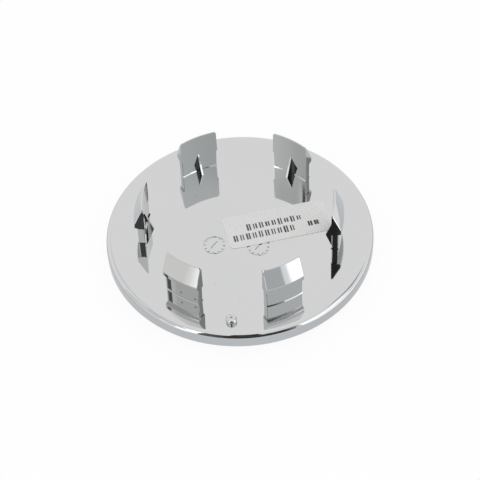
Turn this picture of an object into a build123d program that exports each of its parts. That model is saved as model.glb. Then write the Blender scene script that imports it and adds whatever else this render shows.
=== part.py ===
from build123d import *
import math
import os

os.makedirs("parts", exist_ok=True)

# Driving dimensions in millimetres. The front face lies on z = 0 and the clips point up along +Z.
outer_dia = 74.0
cap_thick = 5.4
front_land_dia = 46.0
front_slope = 3.25
front_bevel = 0.6
back_round = 1.6

# Snap clips: curved walls in a ring, each with a sloped hook on its outside.
clip_count = 6
clip_inner_dia = 52.2
clip_height = 13.4
shank_thick = 1.85
shank_width = 10.8
shank_draft = 1.0
shank_round = 0.22
foot_bevel = 0.25
head_width = 11.2
head_draft = 1.0
head_bevel = 0.15
tip_thick = 0.35
tip_corner = 0.7
hook_reach = 0.85
hook_height = 7.7
hook_land = 1.5
under_height = 5.9

# Gusset rib on the inside of each clip.
rib_thick = 0.5
rib_reach = 2.3
rib_height = 6.4

# Small round stub on the back face, outside the ring of clips.
stub_dia = 3.1
stub_height = 1.5
stub_round = 0.8
stub_place_r = 31.7
dimple_dia = 0.9
dimple_depth = 0.4

# Two mould clocks sunk in the back face: a ring with short ticks round a plain pointer.
clock_dia = 6.4
clock_groove = 0.3
clock_depth = 0.2
tick_count = 12
tick_length = 0.8
pointer_length = 3.2
pointer_turn = 60
clock_left_x = -6.6
clock_right_x = 5.6
clock_y = -5.4

# Paper label stuck on the back face, its near corner beside the rib of the first clip.
label_length = 28.9
label_width = 11.6
label_thick = 0.1
label_corner = 1.7
label_clip_gap = 0.52
label_rib_gap = 1.5
label_turn = 17.3

outer_r = outer_dia / 2
front_land_r = front_land_dia / 2
slope_r = outer_r - front_bevel
slope_z = (slope_r - front_land_r) * math.tan(math.radians(front_slope))
inner_r = clip_inner_dia / 2
shank_r = inner_r + shank_thick
hook_r = shank_r + hook_reach
hook_z = cap_thick + hook_height
tip_r = inner_r + tip_thick
under_z = cap_thick + under_height
tip_z = cap_thick + clip_height
root_depth = 0.6
root_z = cap_thick - root_depth
near = 0.01

with BuildPart() as cap:
    # Disc: flat front land, a gentle slope, a bevel up to the rim wall, rounded back edge, flat back.
    with BuildSketch(Plane.XZ):
        with BuildLine():
            front = Polyline(
                (0, cap_thick),
                (0, 0),
                (front_land_r, 0),
                (slope_r, slope_z),
                (outer_r, slope_z + front_bevel),
                (outer_r, cap_thick - back_round),
            )
            back_edge = JernArc(front @ 1, (0, 1), back_round, 90)
            Line(back_edge @ 1, (0, cap_thick))
        make_face()
    revolve(axis=Axis.Z)

    # Clip shank: a piece of ring wall with a bevelled foot and soft corners, a little wider at the head.
    with BuildPart(mode=Mode.PRIVATE) as shank:
        with BuildSketch(Plane.XZ):
            with BuildLine():
                Polyline(
                    (inner_r - foot_bevel, root_z),
                    (inner_r - foot_bevel, cap_thick),
                    (inner_r, cap_thick + foot_bevel),
                    (inner_r, under_z),
                    (shank_r, under_z),
                    (shank_r, cap_thick + foot_bevel),
                    (shank_r + foot_bevel, cap_thick),
                    (shank_r + foot_bevel, root_z),
                    close=True,
                )
            make_face()
        revolve(axis=Axis.Z)
        with BuildSketch(Plane.YZ):
            with Locations((0, root_z)):
                Trapezoid(
                    shank_width, under_height + root_depth, 90 + shank_draft, align=(Align.CENTER, Align.MIN)
                )
        extrude(amount=outer_r, mode=Mode.INTERSECT)
        upright = shank.edges().filter_by(lambda edge: edge.bounding_box().size.Z > under_height / 2)
        fillet(upright, shank_round)

    # Clip head: the hook with an upright land, then a lead-in slope that narrows to the tip.
    with BuildPart(mode=Mode.PRIVATE) as head:
        with BuildSketch(Plane.XZ):
            with BuildLine():
                Polyline(
                    (inner_r, under_z),
                    (shank_r, under_z),
                    (hook_r, hook_z - hook_land),
                    (hook_r, hook_z),
                    (tip_r, tip_z),
                    (inner_r, tip_z),
                    close=True,
                )
            make_face()
        revolve(axis=Axis.Z)
        with BuildSketch(Plane.YZ) as head_outline:
            with Locations((0, under_z)):
                Trapezoid(
                    head_width, clip_height - under_height, 90 - head_draft, align=(Align.CENTER, Align.MIN)
                )
            fillet(head_outline.vertices().group_by(Axis.Y)[-1], tip_corner)
        extrude(amount=outer_r, mode=Mode.INTERSECT)
        round_faces = head.faces().filter_by(GeomType.CYLINDER).sort_by(SortBy.AREA)
        bottom_face = head.faces().sort_by(Axis.Z)[0]
        chamfer(head.edges() - round_faces[-1].edges() - bottom_face.edges(), head_bevel)

    with BuildPart(mode=Mode.PRIVATE) as rib:
        with BuildSketch(Plane.XZ):
            with BuildLine():
                Polyline(
                    (inner_r + shank_thick / 2, root_z),
                    (inner_r - rib_reach, root_z),
                    (inner_r - rib_reach, cap_thick),
                    (inner_r, cap_thick + rib_height),
                    (inner_r + shank_thick / 2, cap_thick + rib_height),
                    close=True,
                )
            make_face()
        extrude(amount=rib_thick / 2, both=True)

    with PolarLocations(0, clip_count):
        add(shank.part)
        add(head.part)
        add(rib.part)

    # Round stub with a dimple in its top.
    with Locations((0, -stub_place_r, cap_thick)):
        Cylinder(stub_dia / 2, stub_height, align=(Align.CENTER, Align.CENTER, Align.MIN))
    stub_z = cap_thick + stub_height
    circles = cap.edges().filter_by(GeomType.CIRCLE)
    fillet(circles.filter_by_position(Axis.Z, stub_z - near, stub_z + near), stub_round)
    with Locations((0, -stub_place_r, stub_z - dimple_depth)):
        Cylinder(
            dimple_dia / 2, stub_height, align=(Align.CENTER, Align.CENTER, Align.MIN), mode=Mode.SUBTRACT
        )

    # Mould clocks: fine grooves in the back face.
    with BuildSketch(Plane.XY.offset(cap_thick)):
        with Locations((clock_left_x, clock_y), (clock_right_x, clock_y)):
            Circle(clock_dia / 2)
            Circle(clock_dia / 2 - clock_groove, mode=Mode.SUBTRACT)
            SlotOverall(pointer_length, clock_groove * 2, rotation=pointer_turn)
            with PolarLocations(clock_dia / 2 - tick_length / 2, tick_count):
                Rectangle(tick_length, clock_groove)
    extrude(amount=-clock_depth, mode=Mode.SUBTRACT)

with BuildPart() as label:
    with BuildSketch(Plane.XY.offset(cap_thick)):
        with Locations(Location((inner_r - label_clip_gap, rib_thick / 2 + label_rib_gap), label_turn)):
            RectangleRounded(label_length, label_width, label_corner, align=(Align.MAX, Align.MIN))
    extrude(amount=label_thick)

cap.part.label = "cap"
label.part.label = "label"
export_step(cap.part, "parts/cap.step")
export_step(label.part, "parts/label.step")
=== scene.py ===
# %% [markdown]
# # A chrome wheel center cap
# The cap closes the middle of a car wheel. It is one plated plastic moulding, shown with its clips up,
# and a paper label is stuck on its back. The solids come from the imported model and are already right,
# so this lesson is about surfaces: what a mirror finish shows, and what a plain paper label shows.

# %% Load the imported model
import math

import bpy
from mathutils import Matrix, Vector


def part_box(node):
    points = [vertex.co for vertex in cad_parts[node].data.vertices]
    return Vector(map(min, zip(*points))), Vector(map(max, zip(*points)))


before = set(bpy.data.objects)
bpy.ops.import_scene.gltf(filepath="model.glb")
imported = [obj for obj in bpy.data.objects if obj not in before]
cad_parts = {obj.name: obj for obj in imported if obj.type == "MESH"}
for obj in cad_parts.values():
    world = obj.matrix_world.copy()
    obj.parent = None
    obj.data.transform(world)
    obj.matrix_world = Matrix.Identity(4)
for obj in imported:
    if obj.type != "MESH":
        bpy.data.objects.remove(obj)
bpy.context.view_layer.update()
MM = 0.001
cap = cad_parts["cap"]
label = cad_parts["label"]
back_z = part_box("label")[0].z
print("nodes:", sorted(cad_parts), "back face at", round(back_z / MM, 2), "mm")

# %% [markdown]
# ## The camera
# The photograph is a close product shot from the front and well above, with a long lens. The camera could
# be aimed by a constraint, but angles round the middle of the back face say more. A small roll and a small
# aim offset put the rim and the clips where they are in the picture.

# %% Camera
camera_elevation = math.radians(49.2)
camera_azimuth = math.radians(5.94)
camera_roll = math.radians(2.65)
camera_distance = 525.9 * MM
camera_lens_mm = 142.6
aim_right = 0.1 * MM
aim_up = -2.43 * MM

turn = Matrix.Rotation(camera_azimuth, 3, "Z")
side = Vector((1, 0, 0))
lift = Vector((0, math.sin(camera_elevation), math.cos(camera_elevation)))
back = turn @ Vector((0, -math.cos(camera_elevation), math.sin(camera_elevation)))
right = turn @ (math.cos(camera_roll) * side - math.sin(camera_roll) * lift)
up = turn @ (math.sin(camera_roll) * side + math.cos(camera_roll) * lift)

camera_data = bpy.data.cameras.new("product_camera")
camera_data.lens = camera_lens_mm
camera_data.sensor_width = 36
camera_data.clip_start = 0.01
camera = bpy.data.objects.new("product_camera", camera_data)
bpy.context.scene.collection.objects.link(camera)
camera_matrix = Matrix((right, up, back)).transposed().to_4x4()
camera_matrix.translation = (
    Vector((0, 0, back_z)) + back * camera_distance + right * aim_right + up * aim_up
)
camera.matrix_world = camera_matrix
bpy.context.scene.camera = camera
print("camera at", [round(value, 4) for value in camera.location])

# %% [markdown]
# ## The floor
# The cap lies on a white board. A painted board in plain light comes out grey, and more light would burn out
# the label. So the board is mostly a white card to the camera and to the mirror, and a thin share of plain
# paint keeps the soft shadow under the rim.

# %% Floor
floor_half = 3.0
card_share = 0.9


def plain_mesh(name, corners, faces):
    mesh = bpy.data.meshes.new(name)
    mesh.from_pydata(corners, [], faces)
    mesh.update()
    made = bpy.data.objects.new(name, mesh)
    bpy.context.scene.collection.objects.link(made)
    return made


def new_material(name):
    material = bpy.data.materials.new(name)
    material.use_nodes = True
    tree = material.node_tree
    tree.nodes.clear()
    return material, tree


floor = plain_mesh(
    "floor",
    [(-floor_half, -floor_half, 0), (floor_half, -floor_half, 0), (floor_half, floor_half, 0),
     (-floor_half, floor_half, 0)],
    [(0, 1, 2, 3)],
)
board, tree = new_material("white_board")
paint = tree.nodes.new("ShaderNodeBsdfDiffuse")
paint.inputs["Color"].default_value = (0.93, 0.93, 0.935, 1)
glow = tree.nodes.new("ShaderNodeEmission")
glow.inputs["Color"].default_value = (1, 1, 1, 1)
ray = tree.nodes.new("ShaderNodeLightPath")
seen = tree.nodes.new("ShaderNodeMath")
seen.operation = "MAXIMUM"
tree.links.new(ray.outputs["Is Camera Ray"], seen.inputs[0])
tree.links.new(ray.outputs["Is Glossy Ray"], seen.inputs[1])
seen_too = tree.nodes.new("ShaderNodeMath")
seen_too.operation = "MAXIMUM"
tree.links.new(seen.outputs["Value"], seen_too.inputs[0])
tree.links.new(ray.outputs["Is Transmission Ray"], seen_too.inputs[1])
share = tree.nodes.new("ShaderNodeMath")
share.operation = "MULTIPLY"
share.inputs[1].default_value = card_share
tree.links.new(seen_too.outputs["Value"], share.inputs[0])
blend = tree.nodes.new("ShaderNodeMixShader")
tree.links.new(share.outputs["Value"], blend.inputs["Fac"])
tree.links.new(paint.outputs["BSDF"], blend.inputs[1])
tree.links.new(glow.outputs["Emission"], blend.inputs[2])
output = tree.nodes.new("ShaderNodeOutputMaterial")
tree.links.new(blend.outputs["Shader"], output.inputs["Surface"])
board.cycles.emission_sampling = "NONE"
floor.data.materials.append(board)
print("floor", floor.dimensions[:])

# %% [markdown]
# ## The room light
# The photograph has an even white light with hardly any shadow. Lamps would each leave a highlight in the
# mirror, so the light is a plain white room at strength 1, at which a colour renders as it is written.

# %% Room light
world = bpy.data.worlds.new("white_room")
bpy.context.scene.world = world
world.use_nodes = True
tree = world.node_tree
tree.nodes.clear()
room = tree.nodes.new("ShaderNodeBackground")
room.inputs["Color"].default_value = (1, 1, 1, 1)
room.inputs["Strength"].default_value = 1.0
output = tree.nodes.new("ShaderNodeOutputWorld")
tree.links.new(room.outputs["Background"], output.inputs["Surface"])
bpy.context.scene.view_settings.view_transform = "Standard"
print("room strength", room.inputs["Strength"].default_value)

# %% [markdown]
# ## What the mirror sees
# Chrome has no colour of its own, so its light and dark bands are the studio around it. Painting the bands
# on the metal would look wrong from any other side. Instead the studio is built from cards with their own
# brightness: pieces of a sphere round the cap, and sectors of the table. Only mirror rays meet the cards, so
# the label and the board keep their plain even light.

# %% Studio cards
panel_radius = 1.2
card_step = 1.5


def studio_card(name, corners, faces, glows, tint):
    """A card that glows with its own brightness at each corner, met by mirror rays only."""
    card = plain_mesh(name, corners, faces)
    paint = card.data.color_attributes.new("glow", "FLOAT_COLOR", "POINT")
    for spot, glow in zip(paint.data, glows):
        spot.color = (glow * tint[0], glow * tint[1], glow * tint[2], 1)
    material, tree = new_material(name)
    brightness = tree.nodes.new("ShaderNodeVertexColor")
    brightness.layer_name = "glow"
    lamp = tree.nodes.new("ShaderNodeEmission")
    tree.links.new(brightness.outputs["Color"], lamp.inputs["Color"])
    output = tree.nodes.new("ShaderNodeOutputMaterial")
    tree.links.new(lamp.outputs["Emission"], output.inputs["Surface"])
    material.cycles.emission_sampling = "NONE"
    card.data.materials.append(material)
    card.visible_camera = False
    card.visible_diffuse = False
    card.visible_shadow = False
    card.visible_transmission = False
    return card


def sweep(stops):
    """Steps of azimuth in degrees with their brightness, from a few stops of (azimuth, brightness)."""
    steps = []
    for (start, from_glow), (stop, to_glow) in zip(stops, stops[1:]):
        count = max(1, round((stop - start) / card_step))
        for step in range(count):
            part = step / count
            steps.append((start + (stop - start) * part, from_glow + (to_glow - from_glow) * part))
    steps.append(stops[-1])
    return steps


def heading(degrees):
    """A flat direction. Azimuth 0 is towards the camera, and + is to its right."""
    around = math.radians(degrees) + camera_azimuth
    return math.sin(around), -math.cos(around)


def card_grid(name, rings, steps, tint):
    """A card woven from rings of (reach, height, share of brightness), each with the same azimuth steps."""
    corners = []
    glows = []
    for reach, height, share in rings:
        for azimuth, glow in steps:
            east, north = heading(azimuth)
            corners.append((reach * east, reach * north, height))
            glows.append(glow * share)
    wide = len(steps)
    faces = []
    for row in range(len(rings) - 1):
        for column in range(wide - 1):
            first = row * wide + column
            faces.append((first, first + 1, first + wide + 1, first + wide))
    return studio_card(name, corners, faces, glows, tint)


print("card step", card_step, "degrees at", panel_radius, "m")

# %% [markdown]
# ## Standing panels
# An upright clip wall sends the view down to the flat back and up again, so it shows what stands about 49
# degrees high. The rounded rim shows everything from the horizon up, squeezed into a thin line. The panels
# are placed by those angles: dark round the camera, white softboxes at each side, pale walls above them.

# %% Panel maker
white = (1, 1, 1)
cool = (0.975, 1.0, 1.03)
row_degrees = 3


def panel(name, stops, elevations, tint=white, near=1.0, foot=1.0):
    """A standing card between two elevations. Its foot can be darker than its top."""
    low, high = elevations
    rows = max(1, round(abs(high - low) / row_degrees))
    reach = panel_radius * near
    rings = []
    for row in range(rows + 1):
        part = row / rows
        rise = math.radians(low + (high - low) * part)
        rings.append((reach * math.cos(rise), reach * math.sin(rise), foot + (1 - foot) * part))
    return card_grid(name, rings, sweep(stops), tint)


print("a panel row is about", row_degrees, "degrees high")

# %% Dark panels round the camera
blue_grey = (0.9, 1.0, 1.1)
panel("camera_shade", [(-13, 0.03), (14, 0.03)], (1, 66))
panel("camera_body", [(-5, 0.15), (5, 0.2)], (46.5, 52), blue_grey, near=0.97)
panel("camera_glow_low", [(-13, 0.13), (14, 0.14)], (24, 30), near=0.97, foot=0.22)
panel("camera_glow_high", [(-13, 0.13), (14, 0.14)], (37, 30), near=0.97, foot=0.22)
panel("left_shade", [(-33, 0.15), (-18, 0.1), (-13, 0.05)], (1, 49.3), cool)
panel("right_shade", [(14, 0.05), (30, 0.05), (42, 0.45)], (1, 42))

# %% Softboxes, lamps and ledges
# The lamps are small: each lights only the sloped edges of the ribs. The ledges show in the bevelled feet.
panel("left_softbox", [(-50, 2.2), (-33, 2.2)], (1, 44), foot=0.7)
panel("left_lamp", [(-62, 1.7), (-57, 1.7)], (12, 16.5), near=0.98)
panel("left_ledge", [(-86, 0.95), (-78, 0.9), (-72, 0.66), (-43.5, 0.66)], (24, 38), near=0.98)
panel("right_softbox", [(42, 2.2), (66, 2.0), (86, 1.6)], (1, 42), foot=0.55)
panel("right_lamp", [(37, 2.1), (42.5, 2.1)], (9, 14.5), near=0.98)
panel("right_ledge", [(42, 1.2), (50, 1.25), (72, 1.4)], (30, 38), near=0.98)

# %% Pale walls
panel("left_wall_low", [(-95, 0.8), (-82, 0.8), (-62, 0.94), (-49, 1.02)], (1, 48.6))
panel("left_wall_high", [(-95, 1.0), (-85, 0.98), (-79, 0.8), (-55, 0.83), (-49, 0.9)], (48.6, 62))
panel("left_post", [(-91.5, 0.12), (-87.5, 0.12)], (48.6, 62), near=0.98)
panel("right_wall_low", [(18, 0.74), (30, 0.78), (68, 0.86), (88, 0.86)], (42, 48.6), cool)
panel("right_wall_high", [(18, 0.88), (35, 0.91), (88, 0.92)], (48.6, 64), cool)
panel("right_back_wall", [(97, 0.42), (120, 0.42)], (38, 62), cool)
panel("left_back_wall", [(-150, 0.85), (-115, 0.85)], (38, 62), cool)

# %% [markdown]
# ## The table top
# The lead-in slopes of the near clips lean outwards, so they look down at the table. The rim wall sees only
# the strip of table beside it. Sectors of a low card give each of them its own grey, with soft ramps between.
# These greys are painted light and shade on the table: a painted shadow in the strip beside the rim, painted
# shade in front of the camera, and painted pools of softbox light towards the sides.

# %% Sectors of the table top
table_height = 0.2 * MM
rim_shadow_strip = (37.2, 52)
far_table = (60, 1100)
rim_shadow_tint = (0.965, 1.0, 1.04)
warm = (1.01, 1.0, 0.985)


def table(name, stops, reaches, tint=white):
    rings = [(reach * MM, table_height, 1.0) for reach in reaches]
    return card_grid(name, rings, sweep(stops), tint)


# Painted shadow: the strip beside the rim stands for the table in the cap's shade.
table("rim_shadow_table_card", [(-180, 0.7), (-60, 0.73), (0, 0.75), (60, 0.7), (180, 0.7)], rim_shadow_strip, rim_shadow_tint)
# Painted shade in front of the camera, ramping up to a painted pool of softbox light at the right front.
front_shade_and_light = [(-33, 0.5), (34.5, 0.57), (36, 0.95), (39.5, 1.05), (42.5, 1.7), (88, 1.7)]
table("front_shade_and_light_table_card", front_shade_and_light, far_table, cool)
# Painted light: the left table brightens into a pool of softbox light towards the front.
left_light_pool = [(-95, 0.86), (-50, 0.86), (-44, 1.05), (-38, 1.5), (-33, 1.6)]
table("left_light_pool_table_card", left_light_pool, far_table, warm)

# %% [markdown]
# ## Shared effects
# A handled part is never perfectly clean: it carries a little dust, fine lines and a faint unevenness. The
# chrome and the paper both need these. They could be copied into each material, but then two copies would
# have to be kept alike, so each effect is one node group with named sockets and its own values in each place.

# %% Node group tools


def new_group(name, inputs, outputs):
    group = bpy.data.node_groups.new(name, "ShaderNodeTree")
    for socket, kind, value in inputs:
        made = group.interface.new_socket(socket, in_out="INPUT", socket_type=kind)
        if value is not None:
            made.default_value = value
    for socket in outputs:
        group.interface.new_socket(socket, in_out="OUTPUT", socket_type="NodeSocketFloat")
    return group, group.nodes.new("NodeGroupInput"), group.nodes.new("NodeGroupOutput")


def sum_node(tree, operation, first, second=None, third=None):
    """A math node. Each operand is a socket or a plain number."""
    node = tree.nodes.new("ShaderNodeMath")
    node.operation = operation
    for slot, operand in enumerate((first, second, third)):
        if operand is None:
            continue
        if isinstance(operand, (int, float)):
            node.inputs[slot].default_value = operand
        else:
            tree.links.new(operand, node.inputs[slot])
    return node.outputs["Value"]


def place(tree, group, vector, values):
    """Put a node group in a material, with its own values."""
    node = tree.nodes.new("ShaderNodeGroup")
    node.node_tree = group
    tree.links.new(vector, node.inputs["Vector"])
    for socket, value in values.items():
        node.inputs[socket].default_value = value
    return node


print("node group tools are ready")

# %% [markdown]
# ## Dust
# Dust is single grains with empty room between them. Plain noise gives blots, so a fine Voronoi field is
# used: each cell holds one round grain of its own size, and a random share of the cells is left empty.

# %% Dust specks
dust, into, out_of = new_group(
    "dust_specks",
    [("Vector", "NodeSocketVector", None), ("Scale", "NodeSocketFloat", 500.0),
     ("Amount", "NodeSocketFloat", 0.2), ("Size", "NodeSocketFloat", 0.12)],
    ["Mask"],
)
cells = dust.nodes.new("ShaderNodeTexVoronoi")
dust.links.new(into.outputs["Vector"], cells.inputs["Vector"])
dust.links.new(into.outputs["Scale"], cells.inputs["Scale"])
chance = dust.nodes.new("ShaderNodeSeparateColor")
dust.links.new(cells.outputs["Color"], chance.inputs["Color"])
grain_size = sum_node(dust, "MULTIPLY", chance.outputs["Red"], into.outputs["Size"])
inside = sum_node(dust, "LESS_THAN", cells.outputs["Distance"], grain_size)
kept = sum_node(dust, "LESS_THAN", chance.outputs["Green"], into.outputs["Amount"])
dust.links.new(sum_node(dust, "MULTIPLY", inside, kept), out_of.inputs["Mask"])
print("dust nodes:", len(dust.nodes))

# %% [markdown]
# ## Fine lines
# Hairline scratches and paper fibres are both thin lines, mostly one way. Wave textures repeat too evenly,
# so a noise is stretched along one axis. The thin streaks where it crosses its middle value are the lines.

# %% Fine lines
lines, into, out_of = new_group(
    "fine_lines",
    [("Vector", "NodeSocketVector", None), ("Scale", "NodeSocketFloat", 40.0),
     ("Stretch", "NodeSocketFloat", 12.0), ("Turn", "NodeSocketFloat", 0.0),
     ("Width", "NodeSocketFloat", 0.01)],
    ["Mask"],
)
turned = lines.nodes.new("ShaderNodeVectorRotate")
turned.rotation_type = "Z_AXIS"
lines.links.new(into.outputs["Vector"], turned.inputs["Vector"])
lines.links.new(into.outputs["Turn"], turned.inputs["Angle"])
parts = lines.nodes.new("ShaderNodeSeparateXYZ")
lines.links.new(turned.outputs["Vector"], parts.inputs["Vector"])
stretched = lines.nodes.new("ShaderNodeCombineXYZ")
lines.links.new(parts.outputs["X"], stretched.inputs["X"])
squeezed = sum_node(lines, "MULTIPLY", parts.outputs["Y"], into.outputs["Stretch"])
lines.links.new(squeezed, stretched.inputs["Y"])
lines.links.new(parts.outputs["Z"], stretched.inputs["Z"])
streaks = lines.nodes.new("ShaderNodeTexNoise")
lines.links.new(stretched.outputs["Vector"], streaks.inputs["Vector"])
lines.links.new(into.outputs["Scale"], streaks.inputs["Scale"])
streaks.inputs["Detail"].default_value = 1.0
middle = sum_node(lines, "ABSOLUTE", sum_node(lines, "SUBTRACT", streaks.outputs["Fac"], 0.5))
lines.links.new(sum_node(lines, "LESS_THAN", middle, into.outputs["Width"]), out_of.inputs["Mask"])
print("line nodes:", len(lines.nodes))

# %% [markdown]
# ## Soft unevenness
# Breath and finger marks on metal, cloudiness in paper and the ripple of a moulding are all slow changes
# with no edges. One smooth noise between 0 and 1 serves all three, at different scales.

# %% Soft clouds
clouds, into, out_of = new_group(
    "soft_clouds",
    [("Vector", "NodeSocketVector", None), ("Scale", "NodeSocketFloat", 60.0),
     ("Detail", "NodeSocketFloat", 2.0)],
    ["Value"],
)
drift = clouds.nodes.new("ShaderNodeTexNoise")
clouds.links.new(into.outputs["Vector"], drift.inputs["Vector"])
clouds.links.new(into.outputs["Scale"], drift.inputs["Scale"])
clouds.links.new(into.outputs["Detail"], drift.inputs["Detail"])
clouds.links.new(drift.outputs["Fac"], out_of.inputs["Value"])
print("groups:", [group.name for group in bpy.data.node_groups])

# %% [markdown]
# ## Chrome plating
# Decorative chrome is a very thin bright metal over the plastic, slightly grey and slightly green. It is a
# mirror, so it needs a metallic surface that is almost smooth. What makes it real is small: the plastic below
# isn't quite flat, so reflections waver, hands leave dull clouds and hairlines, and a few dust grains stay on
# it. Paint-like detail would hide the mirror, so each effect is kept faint.

# %% Chrome colour and dust


def mix_colour(tree, mask, first, second):
    """Blend two colours by a mask. Each is a socket or a plain colour."""
    node = tree.nodes.new("ShaderNodeMix")
    node.data_type = "RGBA"
    tree.links.new(mask, node.inputs["Factor"])
    for socket, colour in ((node.inputs[6], first), (node.inputs[7], second)):
        if isinstance(colour, tuple):
            socket.default_value = colour + (1,)
        else:
            tree.links.new(colour, socket)
    return node.outputs[2]


chrome, tree = new_material("bright_chrome")
where = tree.nodes.new("ShaderNodeTexCoord").outputs["Object"]
bright_metal = (0.645, 0.653, 0.647)
dull_metal = (0.625, 0.632, 0.628)
breath = place(tree, clouds, where, {"Scale": 70.0, "Detail": 3.0}).outputs["Value"]
colour = mix_colour(tree, breath, dull_metal, bright_metal)

grains = place(tree, dust, where, {"Scale": 420.0, "Amount": 0.05, "Size": 0.1}).outputs["Mask"]
grain_grey = (0.5, 0.49, 0.47)
colour = mix_colour(tree, grains, colour, grain_grey)
metallic = sum_node(tree, "MULTIPLY_ADD", grains, -0.7, 1.0)
print("chrome colour", bright_metal, "to", dull_metal)

# %% Hairlines and ripple
long_hairlines = {"Scale": 30.0, "Stretch": 14.0, "Turn": 0.5, "Width": 0.0012}
short_hairlines = {"Scale": 55.0, "Stretch": 9.0, "Turn": 2.1, "Width": 0.001}
ripple_depth = 0.004 * MM
long_scratches = place(tree, lines, where, long_hairlines).outputs["Mask"]
short_scratches = place(tree, lines, where, short_hairlines).outputs["Mask"]
scratches = sum_node(tree, "MAXIMUM", long_scratches, short_scratches)
roughness = sum_node(tree, "MULTIPLY_ADD", breath, 0.03, 0.025)
roughness = sum_node(tree, "MULTIPLY_ADD", scratches, 0.05, roughness)
roughness = sum_node(tree, "MULTIPLY_ADD", grains, 0.5, roughness)

ripple = place(tree, clouds, where, {"Scale": 130.0, "Detail": 1.0}).outputs["Value"]
waver = tree.nodes.new("ShaderNodeBump")
waver.inputs["Strength"].default_value = 1.0
waver.inputs["Distance"].default_value = ripple_depth
tree.links.new(ripple, waver.inputs["Height"])
print("ripple", round(ripple_depth / MM, 4), "mm deep")

# %% [markdown]
# ## Pits in the plating
# Two small flaws sit on the outside of one clip, low on its wall, where the plating missed a pinhole. A mark
# could be a separate piece, but a pit has no body of its own, so it is a soft dark spot round a point:
# painted shade for the hollow of each pinhole.

# %% Pits
pit_places = [(-13.98, -24.21, 7.6), (-10.1, -26.06, 7.1)]
pit_size = 0.42 * MM
pit_core = 0.35
# Painted shade: a near-black spot for the hollow of each pinhole.
pit_shade_grey = (0.12, 0.125, 0.125)
for pit_place in pit_places:
    away = tree.nodes.new("ShaderNodeVectorMath")
    away.operation = "DISTANCE"
    tree.links.new(where, away.inputs[0])
    away.inputs[1].default_value = [part * MM for part in pit_place]
    pit = tree.nodes.new("ShaderNodeMapRange")
    pit.interpolation_type = "SMOOTHSTEP"
    pit.inputs["From Min"].default_value = pit_size * pit_core
    pit.inputs["From Max"].default_value = pit_size
    pit.inputs["To Min"].default_value = 1.0
    pit.inputs["To Max"].default_value = 0.0
    tree.links.new(away.outputs["Value"], pit.inputs["Value"])
    colour = mix_colour(tree, pit.outputs["Result"], colour, pit_shade_grey)
print("pits:", len(pit_places))

# %% Chrome on the cap
surface = tree.nodes.new("ShaderNodeBsdfPrincipled")
tree.links.new(colour, surface.inputs["Base Color"])
tree.links.new(metallic, surface.inputs["Metallic"])
tree.links.new(roughness, surface.inputs["Roughness"])
tree.links.new(waver.outputs["Normal"], surface.inputs["Normal"])
output = tree.nodes.new("ShaderNodeOutputMaterial")
tree.links.new(surface.outputs["BSDF"], output.inputs["Surface"])
cap.data.materials[0] = chrome
print("chrome nodes:", len(tree.nodes))

# %% [markdown]
# ## The label's paper
# The label is a plain white sticker of matte paper. Paper isn't one flat colour: it is a little cloudy, it
# has short fibres, and dust settles on it. The shared effects give all three, stronger than on the chrome.

# %% Label paper
cloudy_paper = (0.69, 0.688, 0.685)
clear_paper = (0.735, 0.733, 0.73)
fibre_grey = (0.5, 0.49, 0.48)
dust_grey = (0.35, 0.34, 0.33)
fibre_lines = {"Scale": 300.0, "Stretch": 4.0, "Turn": 1.2, "Width": 0.012}
paper, tree = new_material("label_paper")
where = tree.nodes.new("ShaderNodeTexCoord").outputs["Object"]
tone = place(tree, clouds, where, {"Scale": 260.0, "Detail": 4.0}).outputs["Value"]
colour = mix_colour(tree, tone, cloudy_paper, clear_paper)
fibres = place(tree, lines, where, fibre_lines).outputs["Mask"]
fibre_share = sum_node(tree, "MULTIPLY", fibres, 0.09)
colour = mix_colour(tree, fibre_share, colour, fibre_grey)
grains = place(tree, dust, where, {"Scale": 700.0, "Amount": 0.06, "Size": 0.14}).outputs["Mask"]
grain_share = sum_node(tree, "MULTIPLY", grains, 0.25)
colour = mix_colour(tree, grain_share, colour, dust_grey)
print("paper colour", cloudy_paper, "to", clear_paper)

# %% [markdown]
# ## The label's print
# A small label printer sets its marks in rows at a fixed pitch. Here each mark is a pair of short plain bars.
# A picture could hold them, but a mask in the label's own coordinates stays sharp at any distance. It needs
# the label's near corner and its turn, so that "along" and "across" are millimetres on the paper.

# %% Label coordinates
label_turn = math.radians(17.3)
label_corner = Vector((25.58, 1.75, 0)) * MM

spot = tree.nodes.new("ShaderNodeVectorMath")
spot.operation = "SUBTRACT"
tree.links.new(where, spot.inputs[0])
spot.inputs[1].default_value = label_corner
flat = tree.nodes.new("ShaderNodeVectorRotate")
flat.rotation_type = "Z_AXIS"
flat.inputs["Angle"].default_value = -label_turn
tree.links.new(spot.outputs["Vector"], flat.inputs["Vector"])
axes = tree.nodes.new("ShaderNodeSeparateXYZ")
tree.links.new(flat.outputs["Vector"], axes.inputs["Vector"])
along = sum_node(tree, "MULTIPLY", axes.outputs["X"], 1 / MM)
across = sum_node(tree, "MULTIPLY", axes.outputs["Y"], 1 / MM)
print("label corner at", [round(value / MM, 2) for value in label_corner], "mm")

# %% Bar rows
print_pitch = 1.78
bar_height = 2.35
left_stroke = 0.27
right_stroke = 0.66


def near_to(value, centre, reach):
    """1 where a value lies within a reach of a centre."""
    gap = sum_node(tree, "ABSOLUTE", sum_node(tree, "SUBTRACT", value, centre))
    return sum_node(tree, "LESS_THAN", gap, reach)


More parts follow.
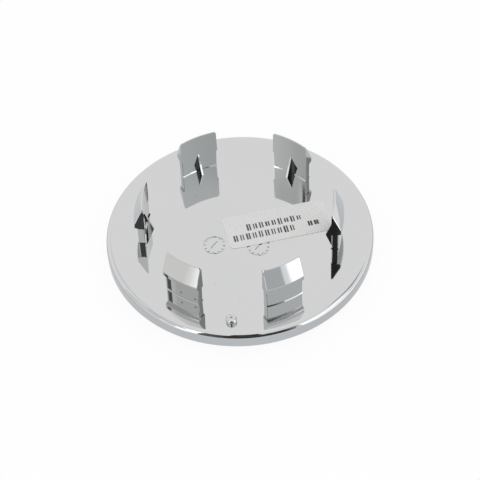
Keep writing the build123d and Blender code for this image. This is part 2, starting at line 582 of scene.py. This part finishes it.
def bar_row(start, count, height_at, seed, heavy=1.0):
    """One row of bars: two upright strokes in each place, their width and reach chosen by a seeded dice."""
    steps = sum_node(tree, "DIVIDE", sum_node(tree, "SUBTRACT", along, start), print_pitch)
    place_number = sum_node(tree, "FLOOR", steps)
    within = sum_node(tree, "FRACT", steps)
    dice = tree.nodes.new("ShaderNodeTexWhiteNoise")
    dice.noise_dimensions = "1D"
    tree.links.new(sum_node(tree, "ADD", place_number, seed), dice.inputs["W"])
    chances = tree.nodes.new("ShaderNodeSeparateColor")
    tree.links.new(dice.outputs["Color"], chances.inputs["Color"])
    left_width = sum_node(tree, "MULTIPLY_ADD", chances.outputs["Red"], 0.06 * heavy, 0.1 * heavy)
    left = near_to(within, left_stroke, left_width)
    right_width = sum_node(tree, "MULTIPLY_ADD", chances.outputs["Green"], 0.06 * heavy, 0.09 * heavy)
    right = near_to(within, right_stroke, right_width)
    strokes = sum_node(tree, "MAXIMUM", left, right)
    half = sum_node(tree, "MULTIPLY_ADD", chances.outputs["Blue"], 0.2 * bar_height, 0.32 * bar_height)
    in_height = near_to(across, height_at, half)
    row_half = count * print_pitch / 2
    in_row = near_to(along, start + row_half, row_half)
    return sum_node(tree, "MULTIPLY", sum_node(tree, "MULTIPLY", strokes, in_height), in_row)


upper_row = bar_row(start=-23.0, count=9, height_at=6.6, seed=3.0)
lower_row = bar_row(start=-27.4, count=10, height_at=3.4, seed=17.0)
end_row = bar_row(start=-6.2, count=2, height_at=3.75, seed=41.0, heavy=1.3)
bars = sum_node(tree, "MAXIMUM", sum_node(tree, "MAXIMUM", upper_row, lower_row), end_row)
print("bar rows at a pitch of", print_pitch, "mm")

# %% Ink and paper tooth
bar_ink = (0.035, 0.035, 0.038)
tooth_depth = 0.03 * MM
worn = sum_node(tree, "MULTIPLY_ADD", tone, 0.3, 0.78)
ink = sum_node(tree, "MULTIPLY", bars, sum_node(tree, "MINIMUM", worn, 1.0))
colour = mix_colour(tree, ink, colour, bar_ink)

paper_height = sum_node(tree, "ADD", tone, sum_node(tree, "MULTIPLY", fibres, 0.4))
tooth = tree.nodes.new("ShaderNodeBump")
tooth.inputs["Strength"].default_value = 0.4
tooth.inputs["Distance"].default_value = tooth_depth
tree.links.new(paper_height, tooth.inputs["Height"])
print("paper tooth", round(tooth_depth / MM, 3), "mm deep")

# %% Paper on the label
surface = tree.nodes.new("ShaderNodeBsdfPrincipled")
tree.links.new(colour, surface.inputs["Base Color"])
roughness = sum_node(tree, "MULTIPLY_ADD", tone, 0.2, 0.55)
tree.links.new(roughness, surface.inputs["Roughness"])
tree.links.new(tooth.outputs["Normal"], surface.inputs["Normal"])
output = tree.nodes.new("ShaderNodeOutputMaterial")
tree.links.new(surface.outputs["BSDF"], output.inputs["Surface"])
label.data.materials[0] = paper
print("paper nodes:", len(tree.nodes))
